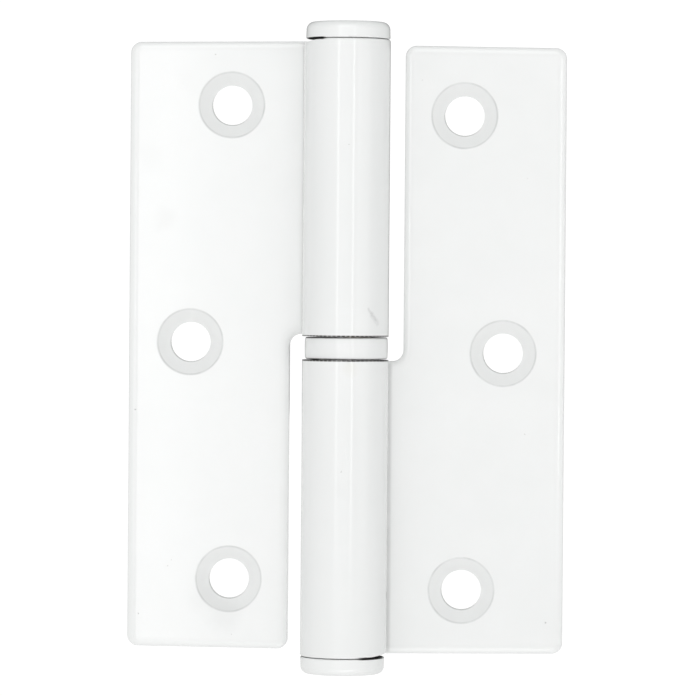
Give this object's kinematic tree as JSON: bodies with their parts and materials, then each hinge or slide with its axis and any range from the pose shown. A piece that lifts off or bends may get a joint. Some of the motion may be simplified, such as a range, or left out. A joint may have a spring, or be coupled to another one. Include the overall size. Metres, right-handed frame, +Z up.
{
  "type": "lift-off butt hinge",
  "caption": "White lift-off butt hinge with countersunk leaves, rolled knuckles, a thrust ring and capped ends, opened flat.",
  "frame": {"origin": "on the pin axis, half way up the thrust ring, which is the centre of the hinge opened flat", "axes": "+Z up along the pin, the way the upper leaf lifts off; +X towards the lower leaf; -Y towards the countersunk front, so the leaves' backs face +Y"},
  "size_m": [0.0716, 0.0141, 0.1068],
  "materials": {
    "white_coat": "gloss white powder coat on steel sheet",
    "pin_steel": "ground steel with a film of grease",
    "white_plastic": "gloss white moulded plastic"
  },
  "bodies": {
    "frame_side": {"lower_leaf": "white_coat", "hinge_pin": "pin_steel", "bottom_cap": "white_plastic"},
    "swivel_ring": {"thrust_ring": "white_plastic"},
    "door_side": {"upper_leaf": "white_coat", "top_cap": "white_plastic"}
  },
  "joints": [
    {"name": "leaf_swing", "type": "hinge", "parent": "frame_side", "child": "swivel_ring", "pos_m": [0, 0, 0], "axis": [0, 0, 1], "range_deg": [-104, 193]},
    {"name": "lift_off", "type": "slide", "parent": "swivel_ring", "child": "door_side", "axis": [0, 0, 1], "range_m": [0, 0.045]}
  ]
}
